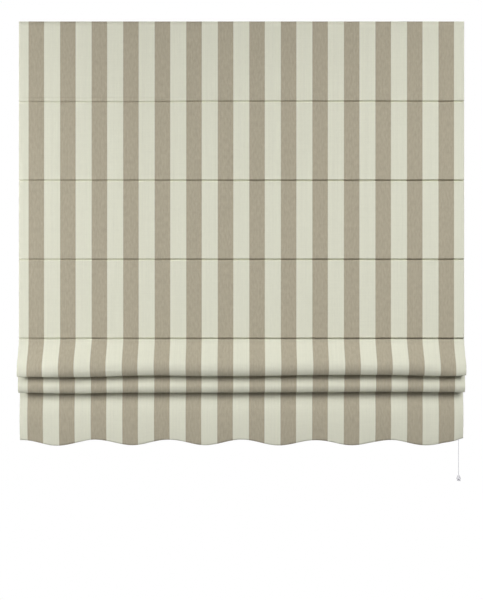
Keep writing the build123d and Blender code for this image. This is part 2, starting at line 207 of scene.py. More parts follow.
def weaveGroup():
    group, given, result = newGroup(
        "wovenThreads",
        [("Place", "NodeSocketVector", None), ("Pitch", "NodeSocketFloat", 0.0007),
         ("Slub", "NodeSocketFloat", 0.05)],
        [("Tone", "NodeSocketFloat"), ("Height", "NodeSocketFloat")],
    )
    parts = addNode(group, "ShaderNodeSeparateXYZ")
    group.links.new(given["Place"], parts.inputs[0])
    turn = calc(group, "DIVIDE", 2 * math.pi, given["Pitch"])
    warp = calc(group, "SINE", calc(group, "MULTIPLY", parts.outputs[0], turn))
    weft = calc(group, "SINE", calc(group, "MULTIPLY", parts.outputs[1], turn))
    height = calc(group, "MULTIPLY_ADD", calc(group, "MULTIPLY", warp, weft), 0.5, 0.5)
    slub = 0.0
    for yarn in yarns.values():           # uneven threads, as much darker as lighter
        thread = cloudy(group, scaled(group, given["Place"], yarn["stretch"]), yarn["scale"], yarn["detail"])
        slub = calc(group, "MULTIPLY_ADD", calc(group, "SUBTRACT", thread, 0.5), yarn["share"], slub)
    group.links.new(calc(group, "MULTIPLY_ADD", slub, given["Slub"], 1.0), result["Tone"])
    group.links.new(calc(group, "MULTIPLY_ADD", slub, slubRelief, height), result["Height"])
    return group


# fine moulded or coated grain, with slow drifts of tone
def grainGroup():
    group, given, result = newGroup(
        "fineGrain",
        [("Place", "NodeSocketVector", None), ("Amount", "NodeSocketFloat", 0.04)],
        [("Tone", "NodeSocketFloat"), ("Rough", "NodeSocketFloat"), ("Height", "NodeSocketFloat")],
    )
    fine = cloudy(group, given["Place"], 2600.0)
    slow = cloudy(group, given["Place"], 28.0, 3.0)
    drift = calc(group, "SUBTRACT", slow, 0.5)
    group.links.new(calc(group, "MULTIPLY_ADD", drift, given["Amount"], 1.0), result["Tone"])
    group.links.new(calc(group, "ADD", calc(group, "MULTIPLY", fine, 0.3), slow), result["Rough"])
    group.links.new(fine, result["Height"])
    return group


weave = weaveGroup()
grain = grainGroup()


def toned(tree, colour, tone):           # colour times a tone near 1
    node = addNode(tree, "ShaderNodeVectorMath", operation="SCALE")
    feed(tree, node.inputs[0], colour)
    feed(tree, node.inputs["Scale"], tone)
    return node.outputs[0]


def grainyMaterial(name, colour, roughness, metallic=0.0, amount=0.05, bump=0.00001, rough=0.12):
    material, tree, shader = newMaterial(name, roughness, metallic)
    place = addNode(tree, "ShaderNodeTexCoord").outputs["Object"]
    look = useGroup(tree, grain, Place=place, Amount=amount)
    tree.links.new(toned(tree, colour[:3], look["Tone"]), shader.inputs["Base Color"])
    spread = calc(tree, "MULTIPLY_ADD", look["Rough"], rough, roughness - rough * 0.65)
    tree.links.new(spread, shader.inputs["Roughness"])
    addBump(tree, shader, look["Height"], bump)
    return material


def brushedMaterial(name, colour, roughness, stretch):      # drawn or rolled metal
    material, tree, shader = newMaterial(name, roughness, 1.0)
    place = addNode(tree, "ShaderNodeTexCoord").outputs["Object"]
    look = useGroup(tree, grain, Place=place, Amount=0.12)
    lines = cloudy(tree, scaled(tree, place, stretch), 1500.0, 3.0)
    tone = calc(tree, "MULTIPLY", look["Tone"], calc(tree, "MULTIPLY_ADD", lines, 0.16, 0.92))
    tree.links.new(toned(tree, colour[:3], tone), shader.inputs["Base Color"])
    tree.links.new(calc(tree, "MULTIPLY_ADD", lines, 0.2, roughness - 0.1), shader.inputs["Roughness"])
    addBump(tree, shader, lines, 0.00002)
    return material


def wovenMaterial(name, colour, pitch, slub, bump):         # tapes and pockets
    material, tree, shader = newMaterial(name, 0.9)
    place = addNode(tree, "ShaderNodeTexCoord").outputs["Object"]
    turned = addNode(tree, "ShaderNodeMapping")
    turned.inputs["Rotation"].default_value = (math.pi / 2, 0, 0)
    tree.links.new(place, turned.inputs["Vector"])
    look = useGroup(tree, weave, Place=turned.outputs[0], Pitch=pitch, Slub=slub)
    tree.links.new(toned(tree, colour[:3], look["Tone"]), shader.inputs["Base Color"])
    shader.inputs["Sheen Weight"].default_value = 0.1
    addBump(tree, shader, look["Height"], bump)
    return material


# striped cloth, coloured in the yarn, so both faces show the stripes
stripes = {"period": 91.94, "darkShare": 0.492, "edge": 0.5,
           "light": srgb(221, 221, 203), "dark": srgb(174, 166, 146),
           "fleck": {"run": 0.3, "scale": 210.0, "dark": 0.34, "light": 0.06}}    # mixed yarn, flecks along the warp


def clothMaterial():
    material, tree, shader = newMaterial("stripedCloth", 0.92)
    flat = addNode(tree, "ShaderNodeUVMap", uv_map="cut").outputs[0]
    look = useGroup(tree, weave, Place=flat, Pitch=0.0008, Slub=0.07)
    parts = addNode(tree, "ShaderNodeSeparateXYZ")
    tree.links.new(flat, parts.inputs[0])
    phase = calc(tree, "FRACT", calc(tree, "DIVIDE", parts.outputs[0], stripes["period"] * mm))
    away = calc(tree, "ABSOLUTE", calc(tree, "SUBTRACT", phase, 0.5))
    edge = stripes["edge"] / stripes["period"]
    half = stripes["darkShare"] / 2
    light = addNode(tree, "ShaderNodeMapRange", interpolation_type="SMOOTHSTEP")
    feed(tree, light.inputs["Value"], away)
    feed(tree, light.inputs["From Min"], half - edge)
    feed(tree, light.inputs["From Max"], half + edge)
    colour = blendColour(tree, light.outputs[0], stripes["dark"], stripes["light"])
    fleck = stripes["fleck"]
    mixed = cloudy(tree, scaled(tree, flat, (1.0, fleck["run"], 0.0)), fleck["scale"])
    strength = calc(tree, "MULTIPLY_ADD", light.outputs[0], fleck["light"] - fleck["dark"], fleck["dark"])
    mixed = calc(tree, "MULTIPLY_ADD", calc(tree, "SUBTRACT", mixed, 0.5), strength, look["Tone"])
    tree.links.new(toned(tree, colour, mixed), shader.inputs["Base Color"])
    shader.inputs["Sheen Weight"].default_value = 0.05
    shader.inputs["Specular IOR Level"].default_value = 0.2
    addBump(tree, shader, look["Height"], 0.00012)
    return material


def cordMaterial():                      # braid: two slanting waves crossing round the cord
    material, tree, shader = newMaterial("braidedCord", 0.75)
    place = addNode(tree, "ShaderNodeTexCoord").outputs["Object"]
    look = useGroup(tree, weave, Place=place, Pitch=0.0006, Slub=0.03)
    parts = addNode(tree, "ShaderNodeSeparateXYZ")
    tree.links.new(place, parts.inputs[0])
    run = calc(tree, "ADD", parts.outputs[2], parts.outputs[0])
    lean = calc(tree, "MULTIPLY", parts.outputs[1], 2.0)
    up = calc(tree, "SINE", calc(tree, "MULTIPLY", calc(tree, "ADD", run, lean), 4200.0))
    down = calc(tree, "SINE", calc(tree, "MULTIPLY", calc(tree, "SUBTRACT", run, lean), 4200.0))
    braid = calc(tree, "MAXIMUM", up, down)
    tone = calc(tree, "MULTIPLY", look["Tone"], calc(tree, "MULTIPLY_ADD", braid, 0.06, 0.95))
    # the white cord (and its knots) is painted a darker bluish grey as painted shade; the braid's small tone changes
    # are its pattern
    tree.links.new(toned(tree, srgb(204, 205, 211)[:3], tone), shader.inputs["Base Color"])
    addBump(tree, shader, braid, 0.00008)
    return material


materials = {
    "cloth": clothMaterial(),
    "cord": cordMaterial(),
    "pocketTape": wovenMaterial("pocketTape", srgb(221, 218, 206), 0.0007, 0.08, 0.0001),
    "hookTape": wovenMaterial("hookTape", srgb(232, 231, 227), 0.0012, 0.2, 0.0004),
    "loopTape": wovenMaterial("loopTape", srgb(235, 234, 230), 0.0009, 0.25, 0.0005),
    "thread": wovenMaterial("sewingThread", srgb(212, 207, 192), 0.0003, 0.05, 0.00003),
    # the bell's white plastic is painted greyer than the other white plastic, as painted shade
    "bell": grainyMaterial("bellPlasticPaintedShade", srgb(216, 215, 220), 0.4, amount=0.04),
    "coat": grainyMaterial("whiteCoat", srgb(236, 236, 234), 0.42, amount=0.03),
    "plastic": grainyMaterial("whitePlastic", srgb(238, 238, 236), 0.32, amount=0.04),
    "roller": grainyMaterial("rollerPlastic", srgb(230, 230, 226), 0.4, amount=0.05),
    "ring": grainyMaterial("ringPlastic", srgb(236, 236, 232), 0.22, amount=0.03),
    "glassRod": grainyMaterial("glassFibreRod", srgb(226, 225, 214), 0.5, amount=0.1),
    "zinc": brushedMaterial("zincSteel", srgb(196, 198, 203), 0.38, (0.06, 1.0, 1.0)),
    "steel": brushedMaterial("pinSteel", srgb(184, 186, 190), 0.3, (1.0, 0.06, 1.0)),
    "bar": brushedMaterial("drawnAluminium", srgb(206, 207, 209), 0.35, (0.03, 1.0, 1.0)),
}
materials["plastic"].node_tree.nodes["Principled BSDF"].inputs["Coat Weight"].default_value = 0.15
print("materials made:", len(materials))


# cords: listed routes, with a point some six diameters past each turn over a roller
cordSizes = {"radius": 0.7, "pastTurn": 15.2, "cornerSaves": 6.0, "sides": 4}


def cordPiece(name, route, nodes):
    curve = bpy.data.curves.new(name, "CURVE")
    curve.dimensions = "3D"
    curve.resolution_u = 12
    curve.bevel_depth = cordSizes["radius"] * mm
    curve.bevel_resolution = cordSizes["sides"]
    curve.use_fill_caps = True
    spline = curve.splines.new("NURBS")
    spline.points.add(len(route) - 1)
    for point, place in zip(spline.points, route):
        point.co = (*place, 1.0)
    spline.order_u = 3
    spline.use_endpoint_u = True
    curve.materials.append(materials["cord"])
    piece = newPiece(name, curve)
    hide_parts(*nodes)
    return piece


connectorLow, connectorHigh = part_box("cord_connector")
bellLow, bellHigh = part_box("cord_bell")
pullX = (bellLow.x + bellHigh.x) / 2
cordY = (bellLow.y + bellHigh.y) / 2
knotSizes = {"radius": 1.7, "height": 3.4, "bulge": 0.12, "strands": 9, "wind": 5000}


def liftCord(number):
    low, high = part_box(f"lift_cord_{number}")
    x = low.x + knotSizes["radius"] * mm
    y = (low.y + high.y) / 2
    runZ = high.z - cordSizes["radius"] * mm
    past = cordSizes["pastTurn"] * mm
    route = [
        (x, y, low.z + knotSizes["height"] * mm), (x, y, runZ - past), (x, y, runZ), (x + past, y, runZ),
        (pullX - past, y, runZ), (pullX, y, runZ), (pullX, y, runZ - past), (pullX, y, connectorHigh.z),
    ]
    return cordPiece(f"liftCord{number}", route, [f"lift_cord_{number}"]), route[0]


def pullCord():
    drops = (0.0, 0.25, 0.5, 0.75, 1.0)
    length = connectorLow.z - bellHigh.z
    route = [(pullX, cordY, connectorLow.z - share * length) for share in drops]
    return cordPiece("pullCord", route, ["pull_cord"]), length


liftCords = [liftCord(number) for number in (1, 2, 3)]
pullPiece, pullLength = pullCord()
print("cords laid: pull cord", round(pullLength, 3), "m")


# turned pieces: a half outline spun about the cord
def turned(name, outline, centre, material, slot, steps=48):
    bm = bmesh.new()
    verts = [bm.verts.new((radius * mm, 0, z)) for radius, z in outline]
    edges = [bm.edges.new(pair) for pair in zip(verts, verts[1:])]
    bmesh.ops.spin(bm, geom=verts + edges, cent=(0, 0, 0), axis=(0, 0, 1), angle=2 * math.pi,
                   steps=steps, use_merge=True)
    bmesh.ops.remove_doubles(bm, verts=bm.verts, dist=0.001 * mm)
    bmesh.ops.translate(bm, verts=bm.verts, vec=(centre[0], centre[1], 0))
    mesh = meshFrom(bm, name)
    mesh.materials.append(material)
    return newPiece(name, mesh)


# bell: shares of its height downwards, and radii in millimetres
bellOutline = [
    (0.0, 0.0), (1.5, 0.0), (2.1, 0.015), (2.3, 0.05), (2.3, 0.1), (2.6, 0.14), (3.4, 0.18), (4.1, 0.24),
    (4.6, 0.32), (5.1, 0.44), (5.6, 0.56), (6.2, 0.66), (6.7, 0.705), (6.9, 0.725), (6.7, 0.74), (4.6, 0.745),
    (4.2, 0.77), (4.2, 0.895), (4.6, 0.92), (6.4, 0.925), (6.7, 0.94), (6.8, 0.955), (6.8, 0.98), (6.6, 0.995),
    (6.4, 1.0), (5.4, 0.98), (0.0, 0.98),
]
connectorOutline = [
    (0.0, 0.0), (3.6, 0.0), (4.6, 0.02), (5.0, 0.07), (4.9, 0.2), (4.5, 0.24), (4.5, 0.28), (4.75, 0.31),
    (4.2, 0.5), (3.3, 0.75), (2.5, 0.95), (2.2, 0.99), (1.8, 1.0), (0.0, 1.0),
]


def turnedOn(name, outline, low, high, node, material):
    shape = [(radius, high.z - share * (high.z - low.z)) for radius, share in outline]
    piece = turned(name, shape, (pullX, cordY), materials[material], "white_plastic")
    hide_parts(node)
    return piece


bell = turnedOn("cordBell", bellOutline, bellLow, bellHigh, "cord_bell", "bell")
turnedOn("cordConnector", connectorOutline, connectorLow, connectorHigh, "cord_connector", "plastic")


# knots under the cord anchors
def knots():
    bm = bmesh.new()
    for _, place in liftCords:
        made = bmesh.ops.create_icosphere(bm, subdivisions=3, radius=knotSizes["radius"] * mm)["verts"]
        for vert in made:                 # wound turns of the knot
            turn = knotSizes["strands"] * math.atan2(vert.co.y, vert.co.x) + knotSizes["wind"] * vert.co.z
            vert.co *= 1 + knotSizes["bulge"] * math.sin(turn)
        bmesh.ops.translate(bm, verts=made, vec=Vector(place) - Vector((0, 0, knotSizes["radius"] * mm)))
    mesh = meshFrom(bm, "cordKnots")
    mesh.materials.append(materials["cord"])
    newPiece("cordKnots", mesh)


knots()
print("bell, connector and knots turned")


# the cloth: its middle line as corners (forward, drop, bend), all in millimetres
clothCut = {
    "thickness": 0.6, "firstTuck": 231.8, "tuckPitch": 230.9, "tucks": 4, "tuckDepth": 8.0, "tuckUpper": 1.9,
    "tuckLower": 4.2, "tuckNotch": 2.2, "lipBend": 1.6, "lipRun": 1.4, "notchBend": 0.6, "seamBend": 1.1,
    "seamGap": 2.4, "seamRise": 7.0, "sweep": 22.0, "easy": 8.4, "foldUnder": 45.0, "foldCorners": 3,
    "foldBend": 0.97, "creaseRun": 1.4, "panelBack": 3.0, "leanFrom": 111.2, "leanRun": 36.0, "leanBack": 10.0,
    "hemHang": 298.4, "waveHeight": 16.6, "waves": 6, "hemReach": 90.0, "columns": 132, "rowStep": 16.0,
}
hemTurns = {
    "side": {"width": 22.0, "bend": 1.1}, "bottom": {"width": 14.0, "bend": 5.0}, "lie": 0.68, "settle": 6.0,
    "bendSteps": 8, "flatShares": (0.07, 0.15, 0.25, 0.4, 0.7, 1.0),
}
frontFold = {
    "hang": 109.8, "front": 50.5, "round": 32.0, "crease": 4.0, "depth": 34.0, "rise": 21.0, "seam": 21.1,
    "leave": (2.0, 14.0), "edgeFrom": 25.0,
    "edge": ((-1.0, 3.4), (-0.78, 4.2), (-0.38, -1.4), (-0.15, 0.9), (0.12, 0.0), (0.3, -2.4),
             (0.62, -2.9), (0.94, 0.8), (1.0, -1.6)),
    "hollow": 12.0, "hollowFrom": 12.0, "hollowTo": 109.0, "hollowEnds": 0.78, "endsBack": 0.06, "endsFrom": 0.86,
}
backFold = {
    "hang": 159.0, "front": 20.0, "round": 26.0, "crease": 2.2, "depth": 18.7, "rise": 10.4, "seam": 76.6,
    "leave": (-0.3, 43.7), "edgeFrom": 60.0,
    "edge": ((-1.0, 1.2), (-0.75, 2.8), (-0.5, 0.6), (0.0, -0.1), (0.7, -2.2), (0.95, -1.0), (1.0, -0.8)),
}
bottomPanel = {                          # hem: how far its edge is drawn up along the width
    "from": 165.0, "at": 225.0, "to": 300.0, "out": 6.5, "under": 7.0, "drawnIn": 0.0014,
    "hem": ((-1.0, -0.8), (-0.94, 0.3), (-0.9, 0.1), (-0.86, -0.9), (-0.73, -0.9), (-0.66, 0.7),
            (-0.56, 1.8), (-0.46, 0.0), (-0.34, 0.2), (-0.25, 1.6), (-0.15, 0.4), (0.07, 0.6),
            (0.19, -0.3), (0.33, -1.2), (0.42, 0.2), (0.55, 0.4), (0.63, -1.2), (0.71, 0.2),
            (0.91, 0.0), (0.935, -1.6), (0.962, -1.4), (0.983, 1.7), (1.0, 4.6)),
}
stripePull = {"panels": (1.0014, -0.6), "bottom": (1.0085, -1.9)}        # how much wider and aside the stripes hang
tuckOpen = {
    "across": ((-1.0, 0.62), (-0.6, 0.78), (0.0, 1.0), (1.0, 1.17)), "each": (0.7, 0.97, 0.95, 0.82),
    "within": 6.0, "rowsPast": 8,
}
firstCrease = {
    "above": 8.6, "steps": (2.7, 1.4, 0.0, -1.2), "swell": 34.0, "forward": 1.2, "ends": (-0.45, -0.1),
    "lower": 1.6, "stepAbove": 0.5, "lowerOver": 5.0, "reach": 15.0,
}
ripples = {"height": 0.35, "across": 0.006, "down": 0.008, "layer": 4.0}
lastTuck = clothCut["firstTuck"] + (clothCut["tucks"] - 1) * clothCut["tuckPitch"]
flatMiddle = -clothCut["thickness"] / 2
panelMiddle = flatMiddle - clothCut["panelBack"]


def foldFront(fold):                     # corners round a fold's front, down to the crease of its lower edge
    cut, bend = clothCut, fold["round"]
    under, run = math.radians(cut["foldUnder"]), fold["crease"] * cut["creaseRun"]
    forward = fold["front"] - bend
    drop = fold["hang"] - bend * math.sin(under) - run * math.cos(under)
    away = (forward - fold["leave"][0], drop - fold["leave"][1])
    lean = math.atan2(*away) + math.asin(bend / math.hypot(*away))
    step = (lean + under) / cut["foldCorners"]
    reach = bend / math.cos(step / 2)
    corners = [(*fold["leave"], cut["sweep"])]
    for i in range(cut["foldCorners"]):
        facing = lean - step * (i + 0.5)
        corners.append((forward + reach * math.cos(facing), drop - reach * math.sin(facing), cut["foldBend"] * bend))
    corners.append((forward + bend * math.cos(under) - run * math.sin(under), fold["hang"], fold["crease"]))
    return corners


def foldReturn(fold, seamBack):          # corners up the back layer of a fold, round its seam
    cut, seam = clothCut, fold["seam"]
    seamFront = seamBack + cut["seamGap"]
    return [
        (fold["front"] - fold["depth"], fold["hang"] - fold["rise"], cut["easy"]),
        (seamFront, seam + cut["seamRise"], cut["easy"]),
        (seamFront, seam, cut["seamBend"]), (seamBack, seam, cut["seamBend"]),
    ]


def clothCorners():
    cut = clothCut
    corners = [(flatMiddle, 0, 0)]
    for i in range(cut["tucks"]):
        drop = cut["firstTuck"] + i * cut["tuckPitch"]
        if i == 0:                        # a second, fainter line above the first tuck
            crease = drop - firstCrease["above"]
            corners += [(flatMiddle, crease - rise, 0) for rise in firstCrease["steps"]]
        corners.append((flatMiddle, drop - cut["tuckUpper"] - cut["lipRun"], 0))
        corners.append((flatMiddle, drop - cut["tuckUpper"], cut["lipBend"]))
        corners.append((flatMiddle - cut["tuckDepth"], drop + cut["tuckNotch"], cut["notchBend"]))
        corners.append((flatMiddle, drop + cut["tuckLower"], cut["lipBend"]))
        if i < cut["tucks"] - 1:
            corners.append((flatMiddle, drop + cut["tuckLower"] + cut["lipRun"], 0))
    raised = foldFront(frontFold) + foldReturn(frontFold, flatMiddle)
    raised += foldFront(backFold) + foldReturn(backFold, panelMiddle)
    leaned = panelMiddle - cut["leanBack"]
    raised += [
        (panelMiddle, cut["leanFrom"], cut["sweep"]), (leaned, cut["leanFrom"] + cut["leanRun"], cut["sweep"]),
        (leaned, cut["hemHang"] - hemTurns["bottom"]["bend"], 0),
    ]
    return corners + [(forward, lastTuck + drop, bend) for forward, drop, bend in raised]


def roundedLine(corners):                # bevels each corner of the line, then divides long runs
    wire = bmesh.new()
    verts = [wire.verts.new(hung(forward, drop)) for forward, drop, bend in corners]
    for pair in zip(verts, verts[1:]):
        wire.edges.new(pair)
    places = [vert.co.copy() for vert in verts]
    for i, (forward, drop, bend) in enumerate(corners):
        if bend:
            turn = (places[i] - places[i - 1]).angle(places[i + 1] - places[i])
            bmesh.ops.bevel(wire, geom=[verts[i]], offset=bend * mm * math.tan(turn / 2), offset_type="OFFSET",
                            segments=max(3, round(math.degrees(turn) / 12)), profile=0.5, material=-1,
                            affect="VERTICES")
    for edge in list(wire.edges):
        cuts = math.ceil(edge.calc_length() / (clothCut["rowStep"] * mm)) - 1
        if cuts:
            bmesh.ops.subdivide_edges(wire, edges=[edge], cuts=cuts)
    vert = max(wire.verts, key=lambda v: v.co.z)
    line, before = [vert.co.copy()], None
    while True:
        step = [e for e in vert.link_edges if e != before]
        if not step:
            break
        before = step[0]
        vert = before.other_vert(vert)
        line.append(vert.co.copy())
    wire.free()
    return line


def turnedEdge(past, bend):              # how far along and behind a hem lies, past the start of its turn
    angle = past / bend
    if angle < math.pi:
        return bend * math.sin(angle), bend * (1 - math.cos(angle))
    run = past - math.pi * bend
    return -run, 2 * bend - (2 * bend - hemTurns["lie"]) * smoothStep(run, 0.0, hemTurns["settle"])


def hemStations(width, bend):            # distances past the turn's start: round the bend, then flat
    turn, steps = math.pi * bend, hemTurns["bendSteps"]
    bent = [turn * i / steps for i in range(1, steps + 1)]
    return bent + [turn + width * share for share in hemTurns["flatShares"]]


def scallop(x):                          # crests at both side edges
    wave = 2 * math.pi * clothCut["waves"] * (x + halfWidth) / (2 * halfWidth)
    return clothCut["waveHeight"] / 2 * (1 - math.cos(wave))


def hollow(side, drop):                  # how far the front fold's lean hangs back near its ends
    fold = frontFold
    share = (drop - fold["hollowFrom"]) / (fold["hollowTo"] - fold["hollowFrom"])
    ends = smoothStep(abs(side), fold["hollowEnds"], 1.0)
    return fold["hollow"] * ends * math.sin(math.pi * min(1.0, max(0.0, share)))


def opening(side, drop):                 # how far a tuck stands open; other rows keep their place
    for i, share in enumerate(tuckOpen["each"]):
        if abs(drop + lastTuck - clothCut["firstTuck"] - i * clothCut["tuckPitch"]) < tuckOpen["within"]:
            return share * along(tuckOpen["across"], side)
    return 1.0


def bow(drop):                           # the bottom panel swells a little, and its hem hangs back
    panel = bottomPanel
    if drop < panel["at"]:
        return panel["out"] * smoothStep(drop, panel["from"], panel["at"])
    return panel["out"] - panel["under"] * ((drop - panel["at"]) / (panel["to"] - panel["at"])) ** 2


def clothPiece():
    line = roundedLine(clothCorners())
    lengths = [0.0]
    for a, b in zip(line, line[1:]):
        lengths.append(lengths[-1] + (b - a).length)
    backs = []                            # towards the cloth's back, at each row
    for i in range(len(line)):
        way = (line[min(i + 1, len(line) - 1)] - line[max(i - 1, 0)]).normalized()
        backs.append(Vector((0, -way.z, way.y)))

    def rowNear(forward, drop):
        place = hung(forward, lastTuck + drop)
        return min(range(len(line)), key=lambda i: (line[i] - place).length)

    tuckRow = rowNear(flatMiddle - clothCut["tuckDepth"], 0)
    creaseDrop = clothCut["firstTuck"] - firstCrease["above"] - lastTuck
    flatY = hung(flatMiddle, 0).y
    seamRows = [rowNear(flatMiddle + clothCut["seamGap"] / 2, frontFold["seam"]),
                rowNear(panelMiddle + clothCut["seamGap"] / 2, backFold["seam"])]
    edgeRow = max(range(tuckRow, seamRows[0]), key=lambda i: -line[i].z)
    tails = hemStations(**hemTurns["bottom"])
    sideBend = hemTurns["side"]["bend"]
    inner = halfWidth / mm - sideBend
    flats = [inner * (2 * i / clothCut["columns"] - 1) for i in range(clothCut["columns"] + 1)]
    hems = hemStations(**hemTurns["side"])
    across = [-inner - past for past in reversed(hems)] + flats + [inner + past for past in hems]
    rows = len(line) + len(tails)

    def place(u, row):
        past = abs(u) - inner
        x, behind = u, 0.0
        if past > 0:
            reach, behind = turnedEdge(past, sideBend)
            x = math.copysign(inner + reach, u)
        side = x * mm / halfWidth
        index = min(row, len(line) - 1)
        spot = line[index].copy()
        drop = (topZ - spot.z) / mm - lastTuck
        shift = 0.0
        if index <= tuckRow + tuckOpen["rowsPast"]:
            spot.y = flatY + (spot.y - flatY) * opening(side, drop)
        swellDrop = creaseDrop - firstCrease["swell"]
        if swellDrop < drop < creaseDrop + firstCrease["reach"]:
            left = 1 - smoothStep(side, *firstCrease["ends"])
            if drop < creaseDrop - firstCrease["stepAbove"]:
                spot.y -= firstCrease["forward"] * left * mm * smoothStep(drop, swellDrop, creaseDrop)
            shift = firstCrease["lower"] * left * smoothStep(drop, creaseDrop, creaseDrop + firstCrease["lowerOver"])
        if spot.y < flatY:                # both ends of the folds hang back
            spot.y += (flatY - spot.y) * frontFold["endsBack"] * smoothStep(abs(side), frontFold["endsFrom"], 1.0)
        if tuckRow < index < seamRows[0]:
            shift = along(frontFold["edge"], side) * smoothStep(drop, frontFold["edgeFrom"], frontFold["hang"])
            if index < edgeRow:           # its front hangs slack at both ends
                spot.y += hollow(side, drop) * mm
        elif seamRows[0] <= index < seamRows[1]:
            shift = along(backFold["edge"], side) * smoothStep(drop, backFold["edgeFrom"], backFold["hang"])
        elif index >= seamRows[1]:
            hem = clothCut["hemHang"]
            spot.y -= bow(drop) * mm
            shift = scallop(x * mm) - along(bottomPanel["hem"], side)
            shift *= smoothStep(drop, hem - clothCut["hemReach"], hem)
            x *= 1 - bottomPanel["drawnIn"] * smoothStep(drop, backFold["seam"], bottomPanel["from"])
        if row >= len(line):
            reach, under = turnedEdge(tails[row - len(line)], hemTurns["bottom"]["bend"])
            shift += reach
            behind += under
        wave = noise.noise(Vector((x * ripples["across"], drop * ripples["down"], ripples["layer"])))
        spot += backs[index] * ((behind + ripples["height"] * wave) * mm)
        return Vector((x * mm, spot.y, spot.z - shift * mm))

    def pulled(u, row):                   # where the stripes' pattern lies, a little pulled
        index = min(row, len(line) - 1)
        drop = (topZ - line[index].z) / mm - lastTuck
        share = smoothStep(drop, backFold["seam"], bottomPanel["from"]) if index >= seamRows[1] else 0.0
        wider, aside = [a + (b - a) * share for a, b in zip(stripePull["panels"], stripePull["bottom"])]
        return (u - aside) / wider

    bm = bmesh.new()
    bmesh.ops.create_grid(bm, x_segments=len(across) - 1, y_segments=rows - 1, size=1.0)
    uv = bm.loops.layers.uv.new("cut")
    cut = {}
    for vert in bm.verts:
        column = round((vert.co.x + 1) / 2 * (len(across) - 1))
        row = round((1 - vert.co.y) / 2 * (rows - 1))
        tail = tails[row - len(line)] * mm if row >= len(line) else 0.0
        cut[vert] = (pulled(across[column], row) * mm, -(lengths[min(row, len(line) - 1)] + tail))
        vert.co = place(across[column], row)
    for face in bm.faces:
        for loop in face.loops:
            loop[uv].uv = cut[loop.vert]
    mesh = bpy.data.meshes.new("foldedCloth")
    bm.to_mesh(mesh)
    bm.free()
    for face in mesh.polygons:
        face.use_smooth = True
    mesh.materials.append(materials["cloth"])
    piece = newPiece("foldedCloth", mesh)
    thick = piece.modifiers.new("thickness", "SOLIDIFY")
    thick.thickness = clothCut["thickness"] * mm
    thick.offset = 0.0
    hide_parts("fabric_panel")


clothPiece()


# woven pockets: a rounded sleeve along the cloth
pocketSizes = {
    "wall": 0.6, "corner": 1.4, "lengths": 60, "slack": 0.25, "waves": 14.0, "apart": 3.0,
    "nodes": [f"rod_pocket_{i}" for i in range(1, 6)] + ["bottom_bar_pocket"],
}


def pocketPiece(node, number):
    low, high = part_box(node)
    front = low.y + (clothCut["thickness"] - solidCloth) * mm         # the sleeve meets the cloth's back
    bm = bmesh.new()
    corners = [(front, low.z), (high.y, low.z), (high.y, high.z), (front, high.z)]
    verts = [bm.verts.new((low.x, y, z)) for y, z in corners]
    for i in range(4):
        bm.edges.new((verts[i - 1], verts[i]))
    bmesh.ops.bevel(bm, geom=verts, offset=pocketSizes["corner"] * mm, offset_type="OFFSET", segments=5,
                    profile=0.5, material=-1, affect="VERTICES")
    made = bmesh.ops.extrude_edge_only(bm, edges=bm.edges[:])["geom"]
    moved = [g for g in made if isinstance(g, bmesh.types.BMVert)]
    bmesh.ops.translate(bm, verts=moved, vec=(high.x - low.x, 0, 0))
    long = [e for e in bm.edges if abs(e.verts[0].co.x - e.verts[1].co.x) > pocketSizes["corner"] * mm]
    bmesh.ops.subdivide_edges(bm, edges=long, cuts=pocketSizes["lengths"])
    for vert in bm.verts:                 # slight slackness of the tape behind the rod
        share = (vert.co.y - front) / (high.y - front)
        wave = noise.noise(Vector((vert.co.x * pocketSizes["waves"], number * pocketSizes["apart"], 1.0)))
        vert.co.y -= share * pocketSizes["slack"] * mm * (0.5 + wave)
    mesh = meshFrom(bm, f"pocket{number}")
    mesh.materials.append(materials["pocketTape"])
    piece = newPiece(f"tapePocket{number}", mesh)
    thick = piece.modifiers.new("tape", "SOLIDIFY")
    thick.thickness = pocketSizes["wall"] * mm
    thick.offset = -1.0
    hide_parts(node)


for number, node in enumerate(pocketSizes["nodes"], 1):
    pocketPiece(node, number)
print("pockets sewn:", len(pocketSizes["nodes"]))


# stitches: one thread bead, repeated along its line
stitchSizes = {
    "long": 1.35, "thick": 0.24, "pitch": 3.6, "fromEdge": 1.7, "fromEnd": 2.0, "sunk": 0.05,
    "hemEdge": 2.5, "hemStart": 8.0, "hemBehind": 1.32, "hemCount": 55,
}


def addStitch(bm, place, upright=False):
    made = bmesh.ops.create_icosphere(bm, subdivisions=1, radius=1.0)["verts"]
    size = (stitchSizes["thick"], stitchSizes["thick"], stitchSizes["long"])
    size = size if upright else size[::-1]
    bmesh.ops.scale(bm, verts=made, vec=[s * mm for s in size])
    bmesh.ops.translate(bm, verts=made, vec=place)


def stitchPiece(name, starts, count, step, upright=False):
    bm = bmesh.new()
    for place in starts:
        addStitch(bm, place, upright)
    mesh = meshFrom(bm, name)
    mesh.materials.append(materials["thread"])
    piece = newPiece(name, mesh)
    row = piece.modifiers.new("row", "ARRAY")
    row.count = count
    row.use_relative_offset = False
    row.use_constant_offset = True
    row.constant_offset_displace = step


def pocketStitches():
    starts = []
    edge, end = stitchSizes["fromEdge"] * mm, stitchSizes["fromEnd"] * mm
    for node in pocketSizes["nodes"]:
        low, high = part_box(node)
        for z in (low.z + edge, high.z - edge):
            starts.append((low.x + end, high.y - stitchSizes["sunk"] * mm, z))
    count = int((high.x - low.x - 2 * end) / (stitchSizes["pitch"] * mm))
    stitchPiece("pocketStitches", starts, count, (stitchSizes["pitch"] * mm, 0, 0))


